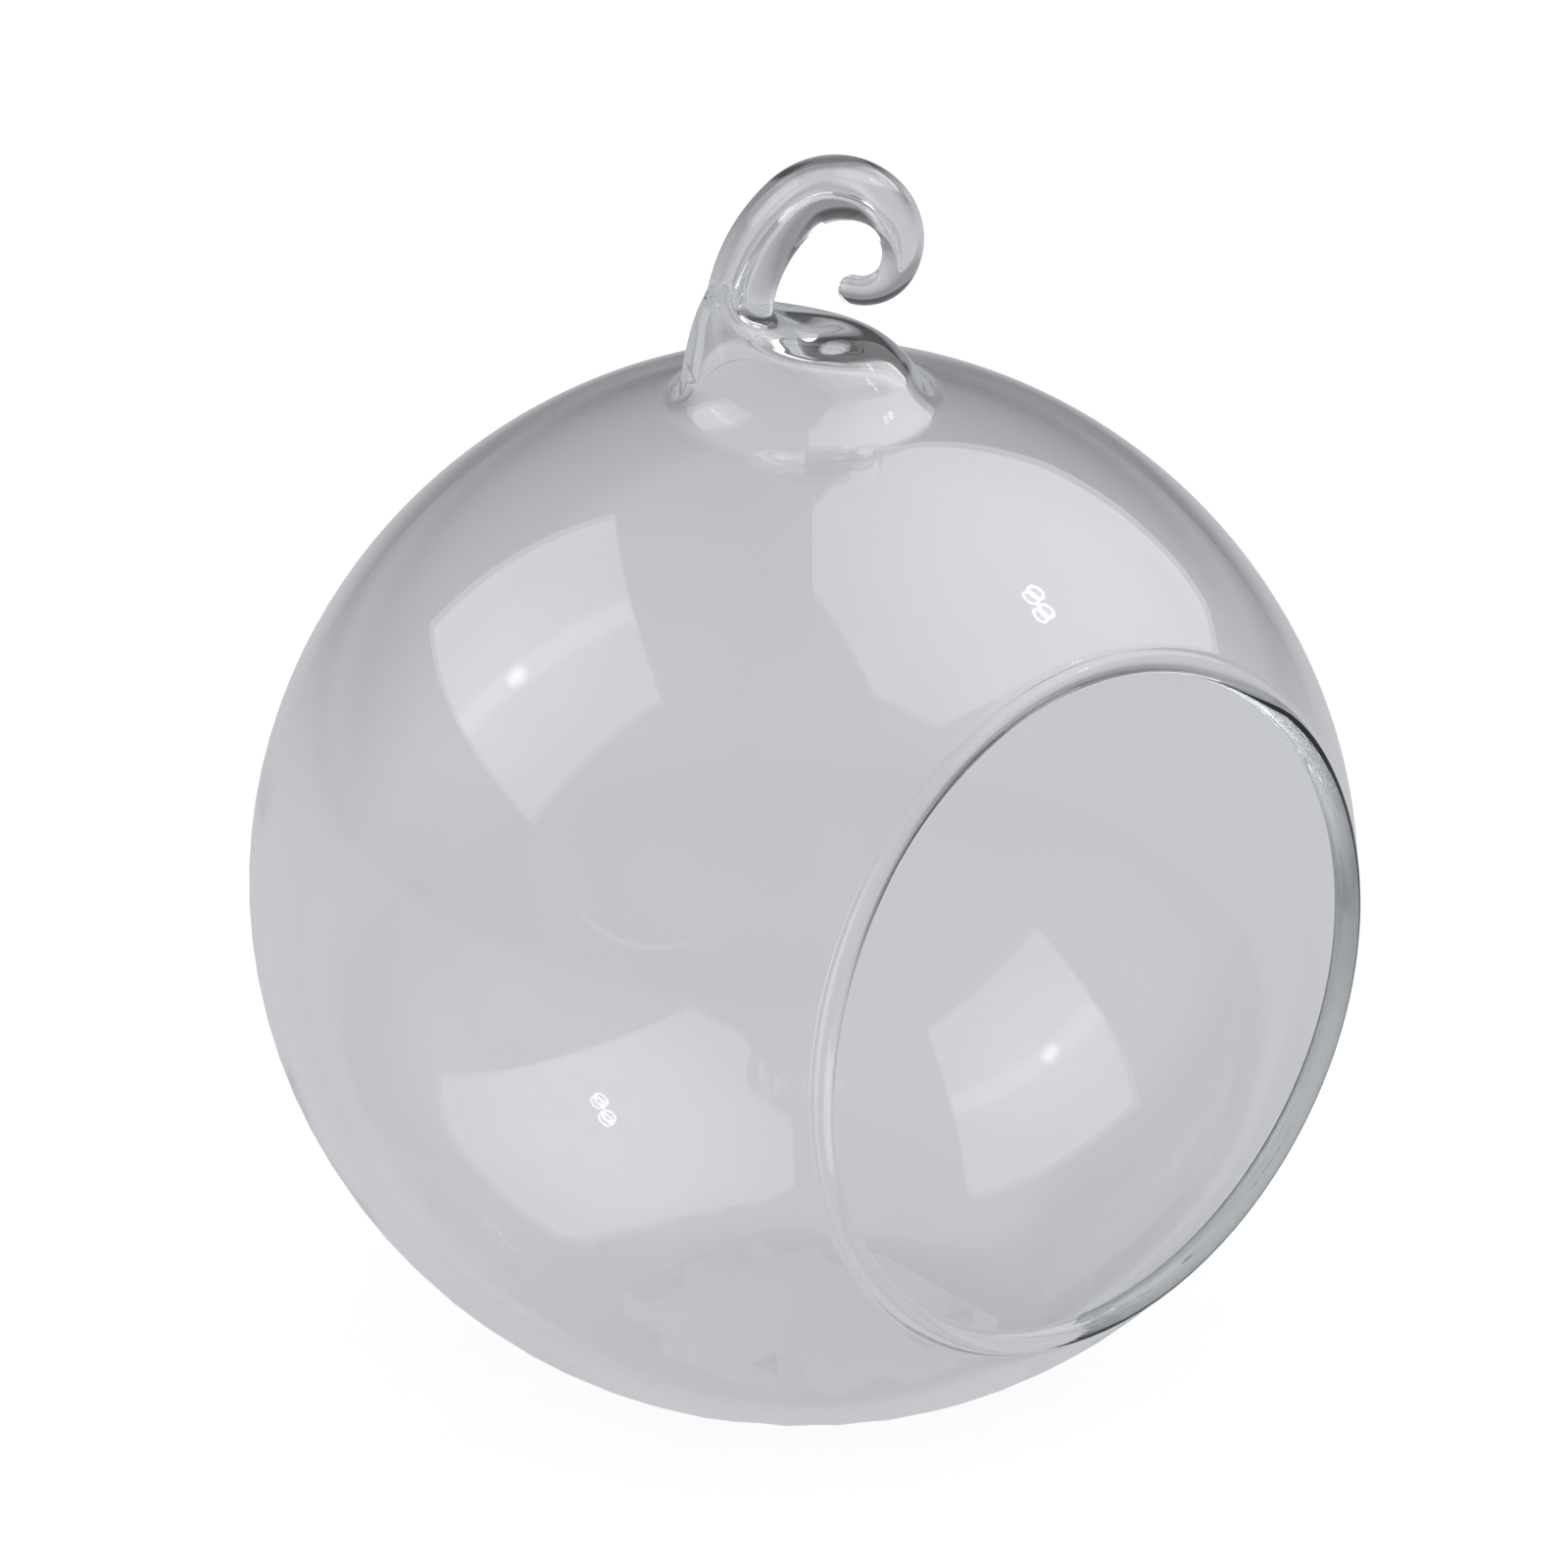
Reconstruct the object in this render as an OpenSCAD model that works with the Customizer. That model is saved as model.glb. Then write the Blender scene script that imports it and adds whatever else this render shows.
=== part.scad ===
// Hanging glass ball vase, blown in one piece.
// A ball stands on a small flat foot and is open through a round mouth in its side,
// which is finished with a fire-polished bead. The ball's crown is drawn out
// into a hollow flare, and the flare into a solid rod that curls over into a hanging hook.
// +Z is up and the origin is the centre of the foot. The hook curls in the XZ plane.

/* [Ball] */
// Outside diameter of the ball at its widest
ball_d = 120; // [90:1:160]
// Thickness of the blown wall
wall = 1.8; // [1.4:0.1:2.4]

/* [Foot] */
// Diameter of the flat that the ball stands on
foot_d = 48; // [30:1:56]
// Radius that rounds the flat into the ball
foot_round = 12; // [6:1:16]

/* [Mouth] */
// Clear diameter of the mouth in the side
mouth_d = 75; // [50:1:90]
// Turn of the mouth from the front towards +X, in degrees
mouth_turn = 43; // [20:1:70]
// Thickness of the bead round the mouth
rim_d = 2.8; // [2.4:0.1:4]

/* [Flare] */
// Width of the flare where it grows out of the ball
flare_d = 27; // [22:1:34]
// Rise of the hook's rod above the ball's crown, where the flare ends
flare_h = 9.3; // [8:0.1:15]
// Distance of that point from the ball's axis
stem_offset = 6.7; // [3:0.1:8]
// Height of the flare's shoulder above the crown, on the side below the loop
shoulder_h = 5.5; // [3:0.1:7]

/* [Hook] */
// Thickness of the drawn rod
rod_d = 7.3; // [5:0.1:9]
// Thickness of the curl's rounded end
tip_d = 3.2; // [2:0.1:4.5]
// Lean of the rod from upright where the flare ends, in degrees
stem_lean = 11.7; // [0:0.1:15]
// Radius of the stem's long bend
stem_r = 20.2; // [12:0.1:26]
// Turn of the stem's bend, in degrees
stem_turn = 33.5; // [25:0.5:45]
// Radius of the loop over the top
loop_r = 6.9; // [6:0.1:10]
// Turn of the loop, in degrees
loop_turn = 158.5; // [130:0.5:180]
// Radius of the curl at the end
curl_r = 4; // [3:0.1:6]
// Turn of the curl, in degrees
curl_turn = 82; // [40:1:95]

/* [Hidden] */
glass = [0.77, 0.79, 0.81];

// The arc that rounds the foot touches the ball's sphere from inside
ball_r = ball_d / 2;
foot_r = foot_d / 2;
foot_arc_z = -sqrt(pow(ball_r - foot_round, 2) - pow(foot_r, 2));
foot_arc_angle = atan(-foot_arc_z / foot_r);
middle_z = foot_round - foot_arc_z;

// The bead's centre circle runs in the middle of the wall
bead_r = (mouth_d + rim_d) / 2;
bead_out = sqrt(pow(ball_r - wall / 2, 2) - pow(bead_r, 2));

// The flare starts in the middle of the wall and ends round the foot of the rod
flare_r = flare_d / 2;
flare_foot_z = sqrt(pow(ball_r - wall / 2, 2) - pow(flare_r, 2));
stem_heading = 90 - stem_lean;
stem_foot = [-stem_offset, ball_r + flare_h];
rod_r = rod_d / 2;
tip_r = tip_d / 2;
rod_along = [cos(stem_heading), sin(stem_heading)];
rod_across = [sin(stem_heading), -cos(stem_heading)];

// Points round a ring, rings up the flare, rings along the cavity and degrees between rod rings
ring_points = 32;
flare_rings = 16;
cavity_rings = 12;
rod_step = 8;
tip_rings = 4;

// The cavity closes below the rod. The wall round it thickens a little on the way up,
// and grows to a solid web below the loop
cavity_end = 0.86;
cavity_thicken = 0.5;
cavity_web = 1.6;
cavity_dip = 4;

// Share of the rod's length after which it starts to taper
taper_start = 0.4;

// Point at share t along the cubic curve that four control values give
function curve(p, t) = pow(1 - t, 3) * p[0] + 3 * pow(1 - t, 2) * t * p[1]
    + 3 * (1 - t) * pow(t, 2) * p[2] + pow(t, 3) * p[3];

// Unit vector square to that curve at share t, on the right of its run
function square_to(p, t) =
    let (d = pow(1 - t, 2) * (p[1] - p[0]) + 2 * (1 - t) * t * (p[2] - p[1]) + pow(t, 2) * (p[3] - p[2]))
    [d[1], -d[0]] / norm(d);

// Outer edge of the flare, which rises almost straight into the back of the rod
outer_edge = [
    [-flare_r, flare_foot_z],
    [-flare_r * 0.9, ball_r + flare_h * 0.83],
    stem_foot - rod_r * rod_across - flare_h * 0.22 * rod_along,
    stem_foot - rod_r * rod_across
];

// Inner edge of the flare, which crosses a low shoulder and turns up into the loop
inner_edge = [
    [flare_r, flare_foot_z],
    [flare_r * 0.56, ball_r + shoulder_h * 2],
    stem_foot + rod_r * rod_across - flare_h * 0.79 * rod_along,
    stem_foot + rod_r * rod_across
];

// Half depth of the flare, front to back
half_depth = [flare_r, flare_r * 0.68, rod_r, rod_r];

// Half section of the ball, with the given thickness taken off all round
module ball_half(inset) {
    foot_top = foot_arc_z - (foot_round - inset) * sin(foot_arc_angle);
    intersection() {
        circle(r = ball_r - inset, $fn = 180);
        translate([0, foot_top]) square([ball_r, ball_r - foot_top]);
    }
    intersection() {
        translate([foot_r, foot_arc_z]) circle(r = foot_round - inset, $fn = 180);
        translate([0, inset - middle_z]) square([ball_r, foot_top + middle_z - inset]);
    }
    translate([0, inset - middle_z]) square([foot_r, foot_top + middle_z - inset]);
}

// Points the Z axis along the mouth, from the middle of the ball
module along_mouth() {
    rotate([0, 0, mouth_turn]) rotate([90, 0, 0]) children();
}

// The opening is cut square to the wall by a cone from the middle of the ball
module mouth_cut() {
    cone_h = ball_d;
    along_mouth() cylinder(h = cone_h, r1 = 0, r2 = cone_h * bead_r / bead_out, $fn = 128);
}

module bead() {
    along_mouth() translate([0, 0, bead_out])
        rotate_extrude($fn = 128) translate([bead_r, 0]) circle(d = rim_d, $fn = 32);
}

// One ring: centre and half width lie in the XZ plane, depth along Y
function ring(centre, half, depth) = [
    for (i = [0 : ring_points - 1])
        let (a = 360 * i / ring_points)
        [centre[0] + half[0] * cos(a), depth * sin(a), centre[1] + half[1] * cos(a)]
];

// Skin over a stack of rings, closed at both ends
module loft(rings) {
    n = ring_points;
    last = len(rings) - 1;
    sides = [
        for (k = [0 : last - 1], i = [0 : n - 1])
            let (j = (i + 1) % n)
            each [[k * n + i, k * n + n + j, k * n + j], [k * n + i, k * n + n + i, k * n + n + j]]
    ];
    foot = [for (i = [0 : n - 1]) i];
    top = [for (i = [0 : n - 1]) last * n + n - 1 - i];
    polyhedron(points = [for (r = rings) each r], faces = concat([foot], sides, [top]), convexity = 6);
}

function flare_ring(t) =
    let (o = curve(outer_edge, t), i = curve(inner_edge, t))
    ring((o + i) / 2, (i - o) / 2, curve(half_depth, t));

// A place on the rod is [x, z, heading], and an arc of radius r turns it clockwise by a degrees
function along(p, r, a) = [
    p[0] + r * (sin(p[2]) - sin(p[2] - a)),
    p[1] - r * (cos(p[2]) - cos(p[2] - a)),
    p[2] - a
];

rod_start = [stem_foot[0], stem_foot[1], stem_heading];
loop_start = along(rod_start, stem_r, stem_turn);
curl_start = along(loop_start, loop_r, loop_turn);
rod_end = along(curl_start, curl_r, curl_turn);

// Rod length up to each arc, in units of radius times degrees
stem_len = stem_r * stem_turn;
loop_len = loop_r * loop_turn;
rod_len = stem_len + loop_len + curl_r * curl_turn;

// Half thickness of the rod after the given length
function rod_half(s) =
    let (u = max(0, (s / rod_len - taper_start) / (1 - taper_start)))
    rod_r - (rod_r - tip_r) * u * u * (3 - 2 * u);

// Ring square to the rod at place p
function rod_ring(p, r) = ring([p[0], p[1]], r * [sin(p[2]), -cos(p[2])], r);

function arc_rings(start, r, turn, before) = [
    for (i = [1 : ceil(turn / rod_step)])
        let (a = turn * i / ceil(turn / rod_step))
        rod_ring(along(start, r, a), rod_half(before + r * a))
];

// Rounded end of the curl
function tip_ring(q) =
    let (x = rod_end[0] + tip_r * sin(q) * cos(rod_end[2]), z = rod_end[1] + tip_r * sin(q) * sin(rod_end[2]))
    rod_ring([x, z, rod_end[2]], tip_r * cos(q));

module hook() {
    loft(concat(
        [for (k = [0 : flare_rings]) flare_ring(k / flare_rings)],
        arc_rings(rod_start, stem_r, stem_turn, 0),
        arc_rings(loop_start, loop_r, loop_turn, stem_len),
        arc_rings(curl_start, curl_r, curl_turn, stem_len + loop_len),
        [for (k = [1 : tip_rings]) tip_ring(80 * k / tip_rings)]
    ));
}

// Ring of the cavity inside the flare at share t of the flare
function cavity_ring(t) =
    let (
        skin = wall + cavity_thicken * t,
        rise = min(1, 2 * t),
        web = skin + cavity_web * rise * rise * (3 - 2 * rise),
        o = curve(outer_edge, t) + skin * square_to(outer_edge, t),
        i = curve(inner_edge, t) - web * square_to(inner_edge, t),
        close = sqrt(max(0.004, 1 - pow(t / cavity_end, 6)))
    )
    ring((o + i) / 2, (i - o) / 2 * close, (curve(half_depth, t) - skin) * close);

module cavity() {
    mouth_ring = ring([0, flare_foot_z - cavity_dip], [flare_r - wall / 2, 0], flare_r - wall / 2);
    loft(concat([mouth_ring], [for (k = [0 : cavity_rings]) cavity_ring(cavity_end * k / cavity_rings)]));
}

module glass_vase() {
    color(glass) translate([0, 0, middle_z]) {
        difference() {
            union() {
                difference() {
                    rotate_extrude($fn = 180) ball_half(0);
                    mouth_cut();
                }
                hook();
            }
            rotate_extrude($fn = 180) ball_half(wall);
            cavity();
        }
        bead();
    }
}

glass_vase();
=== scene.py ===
import math

import bpy
import numpy as np
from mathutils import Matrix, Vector


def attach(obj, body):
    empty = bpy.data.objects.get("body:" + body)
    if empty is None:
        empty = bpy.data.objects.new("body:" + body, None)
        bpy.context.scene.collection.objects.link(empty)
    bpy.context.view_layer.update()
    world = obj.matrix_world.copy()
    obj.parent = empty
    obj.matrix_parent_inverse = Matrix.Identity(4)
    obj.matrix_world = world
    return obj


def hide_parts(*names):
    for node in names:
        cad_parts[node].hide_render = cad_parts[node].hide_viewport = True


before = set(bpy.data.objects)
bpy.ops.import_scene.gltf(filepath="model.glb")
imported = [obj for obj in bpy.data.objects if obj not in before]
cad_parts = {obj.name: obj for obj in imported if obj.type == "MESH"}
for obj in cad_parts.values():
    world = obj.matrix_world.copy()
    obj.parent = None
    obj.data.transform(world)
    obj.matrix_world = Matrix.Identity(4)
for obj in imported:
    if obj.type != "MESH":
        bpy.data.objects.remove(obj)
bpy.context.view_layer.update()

# The blown ball.
# Clear soda glass, blown free to a slightly squat ball and set down hot on a plate, which
# pressed the small flat foot into it. Its wall is even, and the hole in its side is cut later.
MM = 0.001
BALL_R = 60.0
WALL = 1.8
SIDE_SHIFT = 4.0
JOIN = math.radians(20)
FOOT_R = 22.0
FOOT_ROUND = 12.0
side_r = BALL_R - SIDE_SHIFT
dome_r = side_r + SIDE_SHIFT / math.cos(JOIN)
dome_drop = SIDE_SHIFT * math.tan(JOIN)
foot_z = dome_drop - math.sqrt((dome_r - FOOT_ROUND) ** 2 - FOOT_R ** 2)
foot_turn = math.atan2(dome_drop - foot_z, FOOT_R)
middle_z = FOOT_ROUND - foot_z
UP = np.array([0.0, 0.0, 1.0])
JOIN_UP = math.atan2(side_r * math.sin(JOIN), SIDE_SHIFT + side_r * math.cos(JOIN))
HEEL = math.atan2(foot_z - FOOT_ROUND * math.sin(foot_turn), FOOT_R + FOOT_ROUND * math.cos(foot_turn))
EDGE = math.atan2(-middle_z, FOOT_R)


def reach(elevation, inset):
    """Distance from the ball's middle to its skin, inset millimetres deep, at each elevation.

    The half section is five pieces, from the crown down: a wide arc centred a little below
    the middle, a tighter arc centred beside the axis, the wide arc's mirror image, the arc
    that rounds the foot, and the flat. Along an arc with centre c and radius r, a ray d from
    the middle meets the skin at c.d + sqrt((c.d)^2 - c.c + r^2)."""
    c, s = np.cos(elevation), np.sin(elevation)

    def on_arc(x, z, r):
        along = x * c + z * s
        return along + np.sqrt(np.maximum(along ** 2 - x * x - z * z + (r - inset) ** 2, 0))

    def joint(x, z, r, turn):
        return math.atan2(z + (r - inset) * math.sin(turn), x + (r - inset) * math.cos(turn))

    flat_z = inset - middle_z
    upper = joint(SIDE_SHIFT, 0, side_r, JOIN)
    heel = joint(FOOT_R, foot_z, FOOT_ROUND, -foot_turn)
    edge = math.atan2(flat_z, FOOT_R)
    return np.select(
        [elevation > upper, elevation > -upper, elevation > heel, elevation > edge],
        [on_arc(0, -dome_drop, dome_r), on_arc(SIDE_SHIFT, 0, side_r),
         on_arc(0, dome_drop, dome_r), on_arc(FOOT_R, foot_z, FOOT_ROUND)],
        flat_z / np.minimum(s, -0.01))


def skin(directions, inset):
    """Points of the ball's skin, in millimetres from its middle, in the given unit directions."""
    elevation = np.arcsin(np.clip(directions[..., 2], -1, 1))
    return directions * reach(elevation, inset)[..., None]


def inside(points):
    """The points of the inner skin straight under points of the outer skin.

    Each lies one wall's thickness along the line to the centre of the arc it belongs to."""
    elevation = np.arcsin(points[..., 2] / np.linalg.norm(points, axis=-1))
    bands = [elevation > JOIN_UP, elevation > -JOIN_UP, elevation > HEEL, elevation > EDGE]
    out = np.linalg.norm(points[..., :2], axis=-1)
    to_out = np.select(bands, [out, out - SIDE_SHIFT, out, out - FOOT_R], 0 * out)
    to_up = np.select(bands, [points[..., 2] + dome_drop, points[..., 2],
                              points[..., 2] - dome_drop, points[..., 2] - foot_z], -1 + 0 * out)
    length = np.hypot(to_out, to_up)
    side = np.where(out > 1e-9, to_out / length / np.maximum(out, 1e-9), 0)
    step = np.stack([points[..., 0] * side, points[..., 1] * side, to_up / length], axis=-1)
    return points - WALL * step


# The mouth in the ball's side.
# Cracked off round a circle and melted back in the flame, so its edge has drawn up into a
# smooth bead, a little thicker than the wall.
MOUTH_TURN = math.radians(43)
MOUTH_R = 37.5
BEAD = 1.4
BEAD_BLEND = 1.5
COLUMNS = 224
mouth_axis = np.array([math.sin(MOUTH_TURN), -math.cos(MOUTH_TURN), 0.0])
mouth_side = np.cross(mouth_axis, UP)
wall_middle = BALL_R - WALL / 2
mouth_angle = math.asin((MOUTH_R + BEAD) / wall_middle)
blend_out = math.sqrt((BEAD + BEAD_BLEND) ** 2 - (WALL / 2 + BEAD_BLEND) ** 2)
blend_turn = math.atan2(WALL / 2 + BEAD_BLEND, blend_out)
FLARE_EDGE = 15.2


def pencil(inset, flare_edge, rings):
    """Unit directions on circles that pass from the mouth's edge to the flare's foot.

    Seen by stereographic projection, both edges are circles of one coaxal pencil, whose two
    limit points p and q lie on the line through their centres. Where w = (z - p) / (z - q),
    every circle of the pencil has one |w| and every column one angle of w."""
    middle = (mouth_axis + UP) / math.sqrt(2)
    across = (UP - mouth_axis) / math.sqrt(2)
    beside = np.cross(middle, across)
    mouth_edge = mouth_angle + blend_out / wall_middle
    flare_angle = math.asin(flare_edge / reach(np.array([math.radians(76)]), inset)[0])

    def circle(centre, half):
        low = math.tan((centre - half) / 2)
        high = math.tan((centre + half) / 2)
        return (low + high) / 2, (high - low) / 2

    c1, r1 = circle(-math.pi / 4, mouth_edge)
    c2, r2 = circle(math.pi / 4, flare_angle)
    total = (r1 ** 2 - r2 ** 2 - c1 ** 2 + c2 ** 2) / (c2 - c1)
    product = r1 ** 2 - c1 ** 2 + c1 * total
    root = math.sqrt(total ** 2 / 4 - product)
    p, q = total / 2 - root, total / 2 + root
    first = abs((c1 + r1 - p) / (c1 + r1 - q))
    last = abs((c2 - r2 - p) / (c2 - r2 - q))
    size = np.exp(np.linspace(math.log(first), math.log(last), rings))[:, None]
    turn = np.linspace(0, 2 * math.pi, COLUMNS, endpoint=False)[None, :]
    w = size * np.exp(1j * turn)
    top, bottom = p - q * w, 1 - w
    scale = abs(top) ** 2 + abs(bottom) ** 2
    mixed = top * np.conj(bottom)
    return (2 * (mixed.real / scale)[..., None] * across + 2 * (mixed.imag / scale)[..., None] * beside
            + ((abs(bottom) ** 2 - abs(top) ** 2) / scale)[..., None] * middle)


def bead(columns):
    """Rings of the mouth's edge, from the outer skin round the bead to the inner skin.

    The bead is a circle centred in the wall, and a hollow arc on each side leads into the
    skin. Distances along the wall become angles about the mouth's axis."""
    out = [(-blend_out + BEAD_BLEND * math.cos(a), WALL / 2 + BEAD_BLEND + BEAD_BLEND * math.sin(a))
           for a in np.linspace(-math.pi / 2, -blend_turn, 7)[1:]]
    start = math.pi - blend_turn
    round_edge = [(BEAD * math.cos(a), BEAD * math.sin(a)) for a in np.linspace(start, -start, 27)[1:-1]]
    back = [(u, -v) for u, v in out[::-1]]
    u, v = np.array(out + round_edge + back).T
    around = np.arctan2(columns @ mouth_side, columns @ UP)
    ring = np.cos(around)[:, None] * UP + np.sin(around)[:, None] * mouth_side
    angle = (mouth_angle - u / wall_middle)[:, None, None]
    direction = np.cos(angle) * mouth_axis + np.sin(angle) * ring
    return skin(direction, WALL / 2) + v[:, None, None] * direction


# The flare and the hook.
# The glass left on the crown by the blowpipe, drawn out while soft and curled over. The flare
# stays hollow, and its bore runs on through the rod, off centre, under a thin skin and over a
# thick web.
FLARE_R = 13.5
FLARE_H = 9.3
FLARE_BASE_Z = 57.54
ROD_R = 3.65
TIP_R = 1.6
STEM_FOOT = np.array([-6.7, BALL_R + FLARE_H])
STEM_HEADING = math.radians(78.3)
ARCS = [(20.2, 33.5), (6.9, 158.5), (4.0, 82.0)]
TAPER_START = 0.4
rod_along = np.array([math.cos(STEM_HEADING), math.sin(STEM_HEADING)])
rod_across = np.array([math.sin(STEM_HEADING), -math.cos(STEM_HEADING)])
outer_edge = np.array([
    [-FLARE_R, FLARE_BASE_Z],
    [-FLARE_R * 0.9, BALL_R + FLARE_H * 0.83],
    STEM_FOOT - ROD_R * rod_across - FLARE_H * 0.22 * rod_along,
    STEM_FOOT - ROD_R * rod_across])
inner_edge = np.array([
    [FLARE_R, FLARE_BASE_Z],
    [FLARE_R * 0.56, BALL_R + 11.0],
    STEM_FOOT + ROD_R * rod_across - FLARE_H * 0.79 * rod_along,
    STEM_FOOT + ROD_R * rod_across])
half_depth = np.array([[FLARE_R * 0.85], [FLARE_R * 0.42], [ROD_R], [ROD_R]])


def bezier(points, t):
    t = np.atleast_1d(t)[:, None]
    return ((1 - t) ** 3 * points[0] + 3 * (1 - t) ** 2 * t * points[1]
            + 3 * (1 - t) * t ** 2 * points[2] + t ** 3 * points[3])


def rings_at(centre, half, depth, around):
    """Ellipses whose centres and half widths lie in the XZ plane and whose depth runs along Y."""
    c, s = np.cos(around), np.sin(around)
    return np.stack([centre[:, :1] + half[:, :1] * c, depth[:, None] * s,
                     centre[:, 1:] + half[:, 1:] * c], axis=-1)


def even_turns(around, share):
    """The columns' turns about the hook, eased towards even spacing by the given share."""
    turns = np.unwrap(around)
    step = math.copysign(2 * math.pi / COLUMNS, turns[-1] - turns[0])
    even = turns.mean() + step * (np.arange(COLUMNS) - (COLUMNS - 1) / 2)
    share = np.atleast_1d(share)[:, None]
    return (1 - share) * turns + share * even


def ease(x):
    x = np.clip(x, 0, 1)
    return x * x * (3 - 2 * x)


def flare(t, around):
    """Rings of the flare's outer skin at shares t of its height."""
    o, i = bezier(outer_edge, t), bezier(inner_edge, t)
    return rings_at((o + i) / 2, (i - o) / 2, bezier(half_depth, t)[:, 0], even_turns(around, ease(t)))


THIN = 0.38
WEB = 3.1
FOOT_THIN = 1.6
FOOT_WEB = 1.5
BORE_END = 0.84


def outward(rings):
    """Unit normals of a stack of closed rings, from the steps between neighbours."""
    along = np.gradient(rings, axis=0)
    around = np.roll(rings, -1, axis=1) - np.roll(rings, 1, axis=1)
    normal = np.cross(around, along)
    normal /= np.linalg.norm(normal, axis=-1, keepdims=True)
    return normal * np.sign((normal[0] * rings[0]).sum(axis=-1).mean())


def bored(centre, half, depth, web, thin, turns):
    """Rings of a bore that lies off centre in a rod, under a thin skin on the side away from
    the loop and over a thick web on the side of the loop."""
    width = np.linalg.norm(half, axis=1, keepdims=True)
    toward = half / width
    web, thin = web[:, None], thin[:, None]
    return rings_at(centre - toward * (web - thin) / 2, toward * (width - (web + thin) / 2),
                    depth - 1.4 * thin[:, 0], turns)


def hollow(rings, t, around):
    """Rings of the flare's hollow, which lies under its wall and narrows into the rod's bore.

    The wall is the ball's at the flare's foot. Upwards it thins away from the loop and grows
    to a thick web on the side of the loop."""
    centre = rings.mean(axis=1, keepdims=True)
    arm = rings - centre
    toward_loop = np.clip(arm[..., 0] / np.abs(arm[..., 0]).max(axis=1, keepdims=True), -1, 1)
    rise = ease(t / 0.6)[:, None]
    wall = WALL + rise * (1.5 * ((1 + toward_loop) / 2) ** 2 - 0.8 * ((1 - toward_loop) / 2) ** 2)
    under = rings - wall[..., None] * outward(rings)
    o, i = bezier(outer_edge, t), bezier(inner_edge, t)
    into = bored((o + i) / 2, (i - o) / 2, bezier(half_depth, t)[:, 0],
                 FOOT_WEB + (WEB - FOOT_WEB) * ease(t), FOOT_THIN + (THIN - FOOT_THIN) * ease(t),
                 even_turns(around, ease(t)))
    share = ease((t - 0.35) / 0.65)[:, None, None]
    return under + (into - under) * share


def rod_course():
    """Places along the rod's three arcs: x, z, heading and share of the length, and the half thickness."""
    legs = []
    x, z = STEM_FOOT
    h = STEM_HEADING
    total = sum(r * a for r, a in ARCS)
    done = 0.0
    for r, sweep in ARCS:
        a = np.radians(np.linspace(0, sweep, int(sweep / 3) + 1)[1:])
        px = x + r * (math.sin(h) - np.sin(h - a))
        pz = z - r * (math.cos(h) - np.cos(h - a))
        legs.append(np.stack([px, pz, h - a, (done + r * np.degrees(a)) / total], axis=1))
        x, z, h = px[-1], pz[-1], h - a[-1]
        done += r * sweep
    course = np.concatenate(legs)
    half = ROD_R - (ROD_R - TIP_R) * ease((course[:, 3] - TAPER_START) / (1 - TAPER_START))
    return course, half


def across(course):
    """Directions square to the rod, in its plane, towards the inside of the loop."""
    return np.stack([np.sin(course[:, 2]), -np.cos(course[:, 2])], axis=1)


def rod(around):
    """Rings square to the rod along its course, and the round end."""
    course, half = rod_course()
    x, z, h, _ = course[-1]
    q = np.linspace(0, math.pi / 2, 9)[1:-1]
    tip = np.stack([x + TIP_R * np.sin(q) * math.cos(h), z + TIP_R * np.sin(q) * math.sin(h),
                    np.full(len(q), h), np.ones(len(q))], axis=1)
    course = np.concatenate([course, tip])
    half = np.concatenate([half, TIP_R * np.cos(q)])
    turns = even_turns(around, np.ones(len(course)))
    s = course[:, 3:]
    swell = np.sin(np.clip(s * 1.05, 0, 1) * math.pi) ** 0.5
    bump = (0.006 * np.cos(3 * turns + 5 * s) + 0.004 * np.cos(7 * turns - 9 * s)) * swell
    stack = rings_at(course[:, :2], half[:, None] * across(course), half, turns)
    middle = np.stack([course[:, 0], 0 * course[:, 0], course[:, 1]], axis=1)[:, None, :]
    end = np.array([x + TIP_R * math.cos(h), 0, z + TIP_R * math.sin(h)])
    return middle + (stack - middle) * (1 + bump[..., None]), end


def bore(around):
    """Rings of the rod's bore and its rounded end, past the top of the loop."""
    course, half = rod_course()
    keep = course[:, 3] < BORE_END
    course, half = course[keep], half[keep]
    s = course[:, 3]
    web = WEB + (0.9 - WEB) * ease((s - 0.4) / 0.3)
    thin = THIN + 0.1 * ease((s - 0.5) / 0.25)
    close = np.clip(1 - (np.clip(s - BORE_END + 0.34, 0, 1) / 0.34) ** 2, 0.02, 1) ** 0.7
    turns = even_turns(around, np.ones(len(course)))
    stack = bored(course[:, :2], half[:, None] * across(course), half, web, thin, turns)
    core = stack.mean(axis=1, keepdims=True)
    stack = core + (stack - core) * close[:, None, None]
    return stack, core[-1, 0] + (core[-1, 0] - core[-2, 0]) * 0.3


def fillet(start, before, end, after, rings, pull=1.0):
    """Rings that bend from one skin into another, by a cubic with the given end slopes."""
    gap = np.linalg.norm(end - start, axis=-1, keepdims=True) * pull
    leave = (start - before) / np.linalg.norm(start - before, axis=-1, keepdims=True) * gap
    arrive = (after - end) / np.linalg.norm(after - end, axis=-1, keepdims=True) * gap
    t = np.linspace(0, 1, rings + 2)[1:-1, None, None]
    return ((2 * t ** 3 - 3 * t ** 2 + 1) * start + (t ** 3 - 2 * t ** 2 + t) * leave
            + (-2 * t ** 3 + 3 * t ** 2) * end + (t ** 3 - t ** 2) * arrive)


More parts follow.
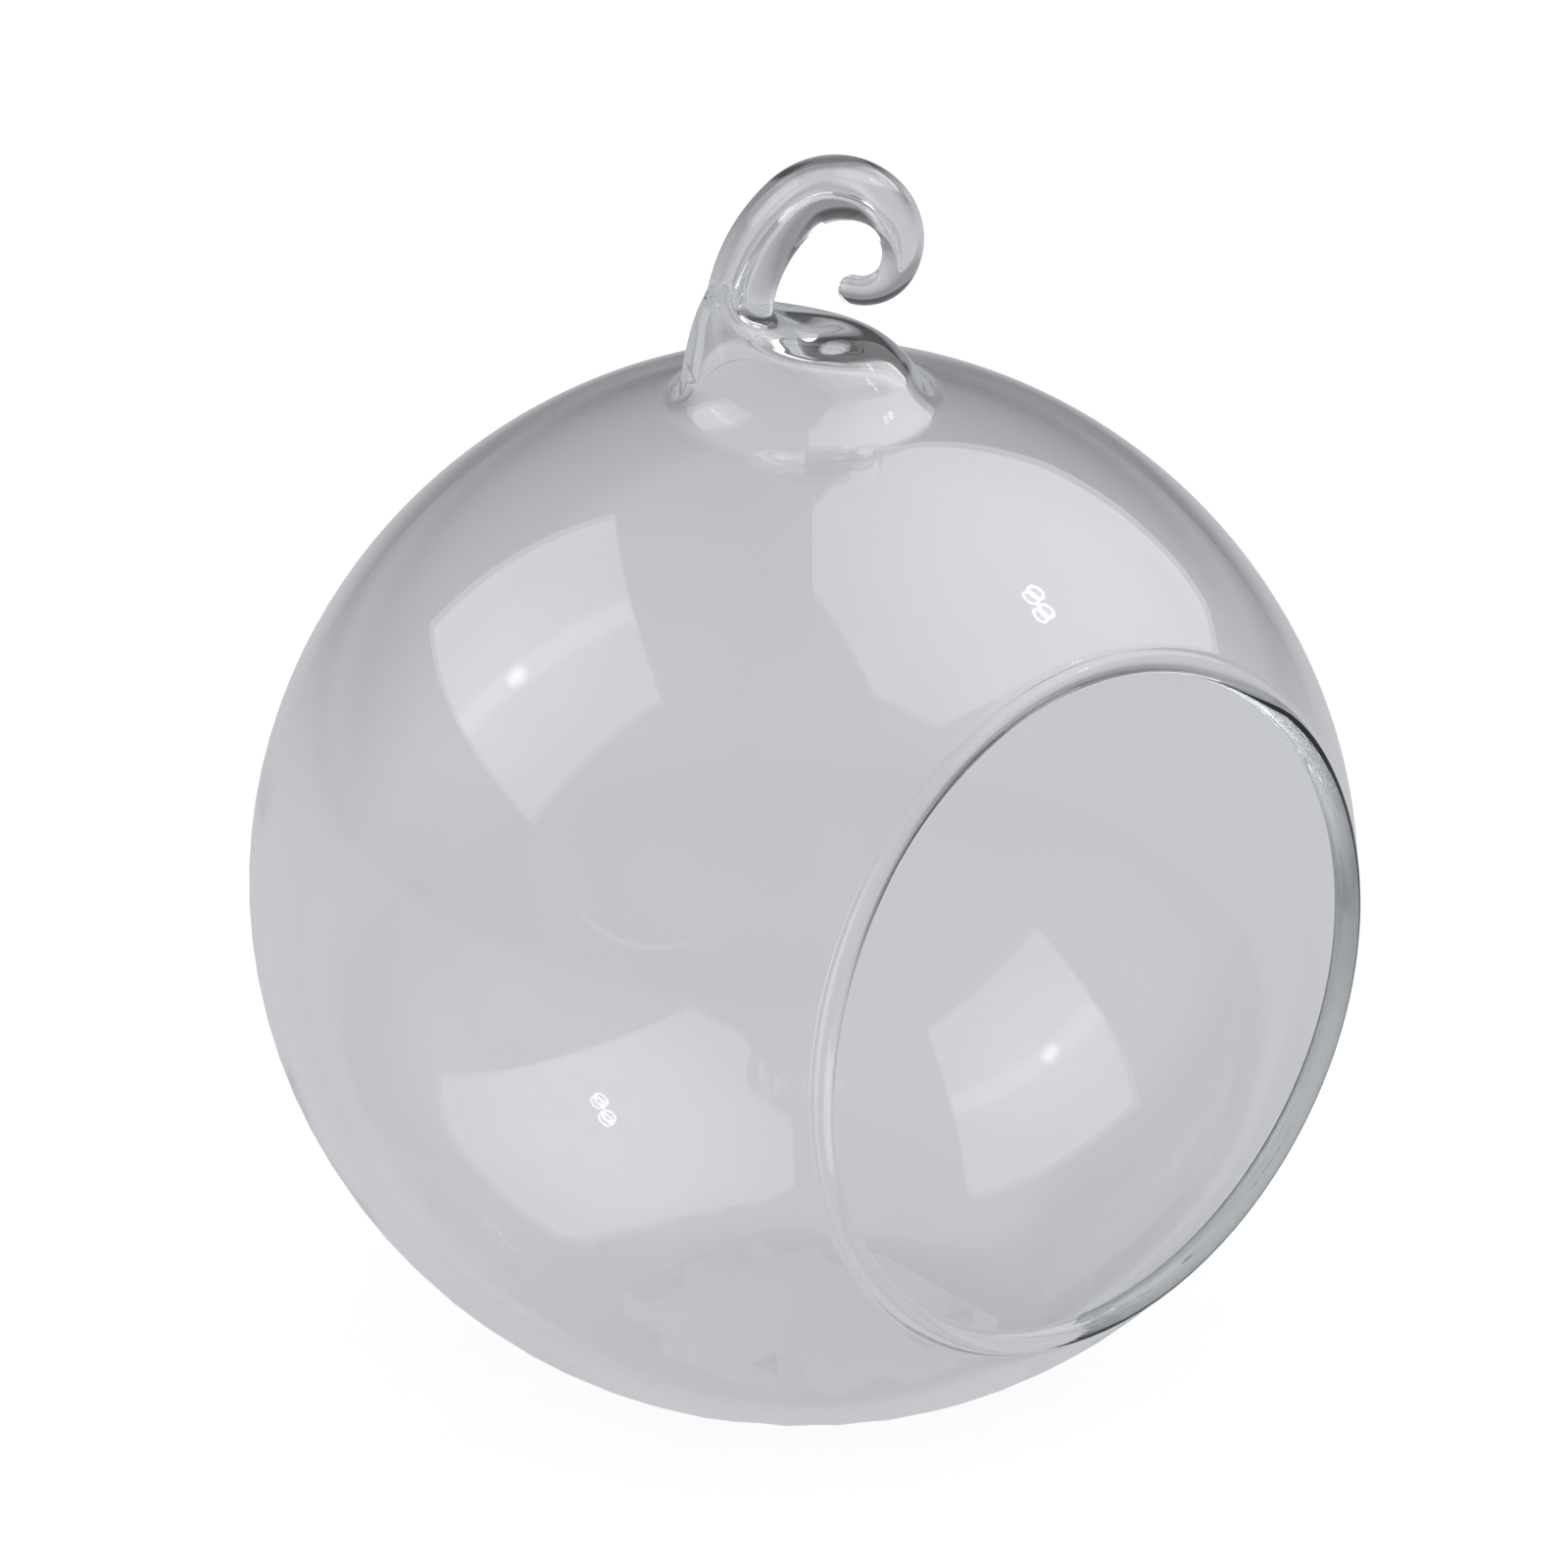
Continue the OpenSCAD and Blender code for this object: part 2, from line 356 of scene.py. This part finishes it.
outer_dirs = pencil(0, FLARE_EDGE, 74)
outer_skin = skin(outer_dirs, 0)
inner_skin = inside(outer_skin)
around_out = np.arctan2(outer_skin[-1, :, 1], outer_skin[-1, :, 0])
flare_t = np.linspace(0.1, 1, 34)
flare_rings = flare(flare_t, around_out)
flare_step = flare(np.array([0.1, 0.101]), around_out)
rod_rings, rod_end = rod(around_out)
foot_fillet = fillet(outer_skin[-1], outer_skin[-2], flare_step[0], flare_step[1], 9)
shell = np.concatenate([outer_skin[-3:], foot_fillet, flare_rings])
shell_t = np.concatenate([np.zeros(3 + len(foot_fillet)), flare_t])
cavity_rings = hollow(shell, shell_t, around_out)[3:]
bore_rings, bore_end = bore(around_out)


# The vase is one piece of glass, so it is one closed skin: from the hook's tip down over the
# flare and the ball to the mouth, round the bead, back over the inside and up the hollow.
def closed_skin(name, rings, first, last):
    """A mesh over stacked rings of equal count, closed by one point before and one after."""
    count, columns = rings.shape[:2]
    verts = np.concatenate([rings.reshape(-1, 3), [first], [last]]) * MM
    i = np.arange(count - 1)[:, None] * columns
    j = np.arange(columns)[None, :]
    k = (j + 1) % columns
    quads = np.stack([i + j, i + columns + j, i + columns + k, i + k], axis=-1).reshape(-1, 4)
    j, k = j[0], k[0]
    start = count * columns
    cap = np.stack([np.full(columns, start), j, k], axis=1)
    low = (count - 1) * columns
    end = np.stack([np.full(columns, start + 1), low + k, low + j], axis=1)
    tris = np.concatenate([cap, end])
    faces = quads.tolist() + tris.tolist()
    a, b, c = (verts[tris[:, n]] for n in range(3))
    volume = np.einsum("ij,ij->i", a, np.cross(b, c)).sum()
    for m in (1, 2):
        a, b, c = verts[quads[:, 0]], verts[quads[:, m]], verts[quads[:, m + 1]]
        volume += np.einsum("ij,ij->i", a, np.cross(b, c)).sum()
    if volume < 0:
        faces = [f[::-1] for f in faces]
    mesh = bpy.data.meshes.new(name)
    mesh.from_pydata(verts, [], faces)
    mesh.polygons.foreach_set("use_smooth", np.ones(len(mesh.polygons), bool))
    mesh.update()
    piece = bpy.data.objects.new(name, mesh)
    bpy.context.scene.collection.objects.link(piece)
    return piece


mouth_rings = bead(outer_dirs[0])
rings = np.concatenate([
    rod_rings[::-1], flare_rings[::-1], foot_fillet[::-1], outer_skin[::-1],
    mouth_rings, inner_skin, cavity_rings, bore_rings])
lift = np.array([0, 0, middle_z])
vase = closed_skin("blown_vase", rings + lift, rod_end + lift, bore_end + lift)
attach(vase, "root")
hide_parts("glass_vase")


class Value:
    """One output of a shader's nodes, so that plain arithmetic with it adds the nodes."""

    def __init__(self, tree, socket):
        self.tree, self.socket = tree, socket

    def node(self, kind, *inputs, out=0, **settings):
        """A further node of the same shader, its first inputs set to or fed by the given ones."""
        made = self.tree.nodes.new(kind)
        for name, setting in settings.items():
            setattr(made, name, setting)
        for socket, given in zip(made.inputs, inputs):
            if isinstance(given, Value):
                self.tree.links.new(given.socket, socket)
            elif given is not None:
                socket.default_value = given
        return Value(self.tree, made.outputs[out])

    def __add__(self, other):
        return self.node("ShaderNodeMath", self, other, operation="ADD")

    def __sub__(self, other):
        return self.node("ShaderNodeMath", self, other, operation="SUBTRACT")

    def __rsub__(self, other):
        return self.node("ShaderNodeMath", other, self, operation="SUBTRACT")

    def __mul__(self, other):
        return self.node("ShaderNodeMath", self, other, operation="MULTIPLY")

    def __truediv__(self, other):
        return self.node("ShaderNodeMath", self, other, operation="DIVIDE")

    def __rtruediv__(self, other):
        return self.node("ShaderNodeMath", other, self, operation="DIVIDE")

    def __pow__(self, other):
        return self.node("ShaderNodeMath", self, other, operation="POWER")

    __radd__ = __add__
    __rmul__ = __mul__


def empty_shader(owner, last_kind):
    """The owner's shader with only its last node, and a value to start from."""
    owner.use_nodes = True
    tree = owner.node_tree
    tree.nodes.clear()
    last = tree.nodes.new(last_kind)
    start = Value(tree, tree.nodes.new("ShaderNodeTexCoord").outputs["Object"])
    return tree, last, start


def step(value, low, high, start=0.0, end=1.0):
    """A smooth rise from start to end while the value goes from low to high."""
    return value.node("ShaderNodeMapRange", value, low, high, start, end, interpolation_type="SMOOTHSTEP")


# The finish of the glass.
# Blown glass is bright and smooth, but never quite even: it ripples faintly and holds a few
# seeds and cords.
glass = bpy.data.materials.new("clear_glass")
tree, last, place = empty_shader(glass, "ShaderNodeOutputMaterial")
ripple = place.node("ShaderNodeTexNoise", place, None, 32.0, 0.0)
cords = place.node("ShaderNodeTexNoise", place, None, 120.0, 0.0)
cells = tree.nodes.new("ShaderNodeTexVoronoi")
cells.inputs["Scale"].default_value = 95.0
tree.links.new(place.socket, cells.inputs["Vector"])
seeds = Value(tree, cells.outputs["Distance"])
chosen = place.node("ShaderNodeSeparateColor", Value(tree, cells.outputs["Color"]))
seed = (1 - step(seeds, 0.02, 0.035)) * step(chosen, 0.955, 0.96)
clear = (1 - 0.75 * seed) * (1 - 0.02 * cords)
colour = place.node("ShaderNodeCombineColor", clear * 0.998, clear * 0.999, clear)
bent = place.node("ShaderNodeBump", 0.35, 0.0006, None, ripple)
shader = tree.nodes.new("ShaderNodeBsdfPrincipled")
shader.inputs["IOR"].default_value = 1.5
shader.inputs["Transmission Weight"].default_value = 1.0
tree.links.new(colour.socket, shader.inputs["Base Color"])
tree.links.new((0.005 * step(cords, 0.45, 0.75)).socket, shader.inputs["Roughness"])
tree.links.new(bent.socket, shader.inputs["Normal"])
tree.links.new(shader.outputs[0], last.inputs["Surface"])
tint = tree.nodes.new("ShaderNodeVolumeAbsorption")
tint.inputs["Color"].default_value = (0.72, 0.77, 0.76, 1)
tint.inputs["Density"].default_value = 3.5
tree.links.new(tint.outputs[0], last.inputs["Volume"])
vase.data.materials.append(glass)

# The studio table.
# A wide plain pale top, which the camera sees white. For the glass it glows a light grey, a painted light
# in place of its lit top, and that glow holds painted shade: it falls off away from the vase, more at the
# back and on the right than in front and on the left, and a faint painted shadow lies under the vase.
STUDIO_GREY = (0.98, 0.99, 1.04, 1)
CAMERA_EL = math.radians(23.6)
TABLE_HALF = 20.0
mesh = bpy.data.meshes.new("table")
mesh.from_pydata([(x * TABLE_HALF, y * TABLE_HALF, 0) for x, y in ((-1, -1), (1, -1), (1, 1), (-1, 1))],
                 [], [(0, 1, 2, 3)])
table = bpy.data.objects.new("table", mesh)
bpy.context.scene.collection.objects.link(table)
top = bpy.data.materials.new("table")
tree, last, place = empty_shader(top, "ShaderNodeOutputMaterial")
x = place.node("ShaderNodeSeparateXYZ", place, out=0)
y = place.node("ShaderNodeSeparateXYZ", place, out=1)
far = (x * x + y * y) ** 0.5
# Painted shade in the table's glow for the glass: it falls off away from the vase, darker behind it, with a
# faint painted shadow under the vase.
painted_falloff = step(far, 0.1, 0.5)
painted_shade_behind_vase = step(y, 0.15, 0.8)
painted_shadow_under_vase = 1 - step(far, 0.03, 0.08)
grey = (0.6 - painted_falloff * (0.1 + 0.05 * x / far)) * (1 - 0.45 * painted_shade_behind_vase) * (1 - 0.03 * painted_shadow_under_vase)
# The table glows this painted grey light for glossy and transmission rays, though it is no lamp.
painted_glow_for_glass = place.node("ShaderNodeEmission", STUDIO_GREY, grey)
seen = place.node("ShaderNodeAddShader", place.node("ShaderNodeEmission", (1, 1, 1, 1), 0.88),
                  place.node("ShaderNodeBsdfDiffuse", (0.25, 0.25, 0.25, 1)))
matt = place.node("ShaderNodeBsdfDiffuse", (0.8, 0.8, 0.8, 1))


def ray_is(tree, kind):
    """1 for rays of the given kind, 0 for all others."""
    return Value(tree, tree.nodes.new("ShaderNodeLightPath").outputs["Is " + kind + " Ray"])


def ray_from_glass(tree):
    """1 for rays that come from the glass, mirrored or let through, 0 for all others."""
    mirrored = ray_is(tree, "Glossy")
    return mirrored.node("ShaderNodeMath", mirrored, ray_is(tree, "Transmission"), operation="MAXIMUM")


shade = place.node("ShaderNodeMixShader", ray_from_glass(tree), matt, painted_glow_for_glass)
shade = place.node("ShaderNodeMixShader", ray_is(tree, "Camera"), shade, seen)
tree.links.new(shade.socket, last.inputs[0])
mesh.materials.append(top)

# The room.
# A plain grey studio, a little lighter towards its two lamps and dark behind the vase. The
# camera sees it white, as the backdrop.
world = bpy.data.worlds.new("room")
bpy.context.scene.world = world
tree, last, place = empty_shader(world, "ShaderNodeOutputWorld")
way = Value(tree, tree.nodes["Texture Coordinate"].outputs["Generated"])


def unit(direction):
    return tuple(np.array(direction, float) / np.linalg.norm(direction))


def facing(direction):
    """How far the ray points the given way, as the cosine of the angle between them."""
    return way.node("ShaderNodeVectorMath", way, unit(direction), operation="DOT_PRODUCT", out=1)


up = facing((0, 0, 1))
behind = step(facing((-0.25, 1, 0.25)), 0.4, 0.85) * step(up, -0.04, 0.14) * (1 - step(up, 0.6, 0.8))
right_glow = 0.3 * step(facing((0.62, 0.15, 0.77)), 0.68, 0.95)
left_glow = 0.12 * step(facing((-0.77, 0.03, 0.64)), 0.7, 0.95)
room = (0.34 + step(up, 0.05, 0.35, 0.0, 0.1) + right_glow + left_glow) * (1 - 0.85 * behind)

lit = way.node("ShaderNodeBackground", STUDIO_GREY, room + 0.3 * ray_is(tree, "Diffuse"))
white = way.node("ShaderNodeBackground", (1, 1, 1, 1), 1.0)
shade = way.node("ShaderNodeMixShader", ray_is(tree, "Camera"), lit, white)
tree.links.new(shade.socket, last.inputs[0])
middle = Vector((0, 0, middle_z * MM))

# The soft boxes.
# Frames with white cloth over them, a square one on the left and a large many-sided one on the
# right. Each shows its bulbs as hot spots. Only the glass sees them, so they stay out of the
# picture itself. Their corners are places of the picture, in pixels.
BOX_AWAY = 0.38
PX_PER_MM = 9.433
BALL_PX = (820, 900)
BALL_HALF_PX = (566, 555.5)
toward_camera = np.array([0, -math.cos(CAMERA_EL), math.sin(CAMERA_EL)])
camera_up = np.array([0, math.sin(CAMERA_EL), math.cos(CAMERA_EL)])


def off_front(x, y):
    """The way from the ball's middle to the place on a box that the ball's front mirrors at
    the pixel x, y of the picture. The box is BOX_AWAY from the middle."""
    u, w = (x - BALL_PX[0]) / BALL_HALF_PX[0], (BALL_PX[1] - y) / BALL_HALF_PX[1]
    normal = np.array([u, 0, 0]) + w * camera_up + math.sqrt(1 - u * u - w * w) * toward_camera
    ray = 2 * (normal @ toward_camera) * normal - toward_camera
    start = BALL_R * MM * normal
    length = math.sqrt((start @ ray) ** 2 - start @ start + BOX_AWAY ** 2) - start @ ray
    return unit(start + length * ray)


def soft_box(name, corners, colour):
    """A flat-sided cloth between the corners, and its glow to be set by the way from the ball."""
    points = [np.array(off_front(*corner)) for corner in corners]
    centre = np.array(unit(np.sum(points, axis=0)))
    verts = np.array(points + [centre]) * BOX_AWAY + np.array(middle)
    n = len(points)
    mesh = bpy.data.meshes.new(name)
    mesh.from_pydata(verts, [], [(n, i, (i + 1) % n) for i in range(n)])
    box = bpy.data.objects.new(name, mesh)
    bpy.context.scene.collection.objects.link(box)
    cloth = bpy.data.materials.new(name)
    cloth.cycles.emission_sampling = "NONE"
    tree, last, place = empty_shader(cloth, "ShaderNodeOutputMaterial")
    from_ball = place.node("ShaderNodeVectorMath", place, tuple(middle), operation="SUBTRACT")
    way = place.node("ShaderNodeVectorMath", from_ball, operation="NORMALIZE")
    glow = way.node("ShaderNodeEmission", colour)
    shade = way.node("ShaderNodeMixShader", ray_from_glass(tree), way.node("ShaderNodeBsdfTransparent"), glow)
    tree.links.new(shade.socket, last.inputs[0])
    mesh.materials.append(cloth)

    def along(direction):
        return way.node("ShaderNodeVectorMath", way, unit(direction), operation="DOT_PRODUCT", out=1)

    return along, glow.socket.node.inputs["Strength"]


LEFT_BOX = [(440, 632), (542, 829), (672, 707), (629, 522)]
RIGHT_BOX = [(829, 513), (829, 595), (892, 703), (956, 736), (1242, 668), (1230, 612), (1206, 576), (1140, 513),
             (1069, 471), (1000, 453), (950, 450), (900, 458)]
along, strength = soft_box("soft_box_left", LEFT_BOX, (0.975, 0.985, 1.06, 1))
left_bulb, left_end = off_front(529, 684), off_front(640, 620)
near = along(left_bulb)
streak = step(1 - along(np.cross(left_bulb, left_end)) ** 2, 0.9955, 1.0)
left = 1.4 + 0.45 * step(near, 0.93, 1.0) + 0.6 * streak + 2.5 * step(near, 0.9992, 0.9998)
left.tree.links.new(left.socket, strength)

along, strength = soft_box("soft_box_right", RIGHT_BOX, (0.99, 1.0, 1.02, 1))
right_bulbs = [off_front(1055, 604), off_front(1065, 623)]
right = 1.35 + 0.75 * step(along(right_bulbs[0]), 0.8, 1.0)
for bulb in right_bulbs:
    near = along(bulb)
    right = right + 9.0 * step(near, 0.99955, 0.99968) * (1 - 0.85 * step(near, 0.99978, 0.9999))
right.tree.links.new(right.socket, strength)

# The camera.
# It stands in front and a little above, far off with a long lens.
PHOTO = 1600
LENS = 1060.0
SENSOR = 36
camera_data = bpy.data.cameras.new("camera")
camera_data.sensor_width = SENSOR
camera_data.lens = LENS
camera = bpy.data.objects.new("camera", camera_data)
bpy.context.scene.collection.objects.link(camera)
bpy.context.scene.camera = camera
cam_up, toward = Vector(camera_up), Vector(toward_camera)
frame_mm = PHOTO / PX_PER_MM
distance = LENS / SENSOR * frame_mm * MM
aim = (middle - Vector((1, 0, 0)) * (BALL_PX[0] - PHOTO / 2) / PX_PER_MM * MM
       + cam_up * (BALL_PX[1] - PHOTO / 2) / PX_PER_MM * MM)
camera.location = aim + toward * distance
camera.rotation_euler = toward.to_track_quat("Z", "Y").to_euler()
camera_data.clip_end = 100

view = bpy.context.scene.view_settings
view.view_transform = "Standard"

# Light goes to and fro inside the wall many times before it leaves by an edge.
cycles = bpy.context.scene.cycles
cycles.max_bounces = cycles.transmission_bounces = cycles.glossy_bounces = 96
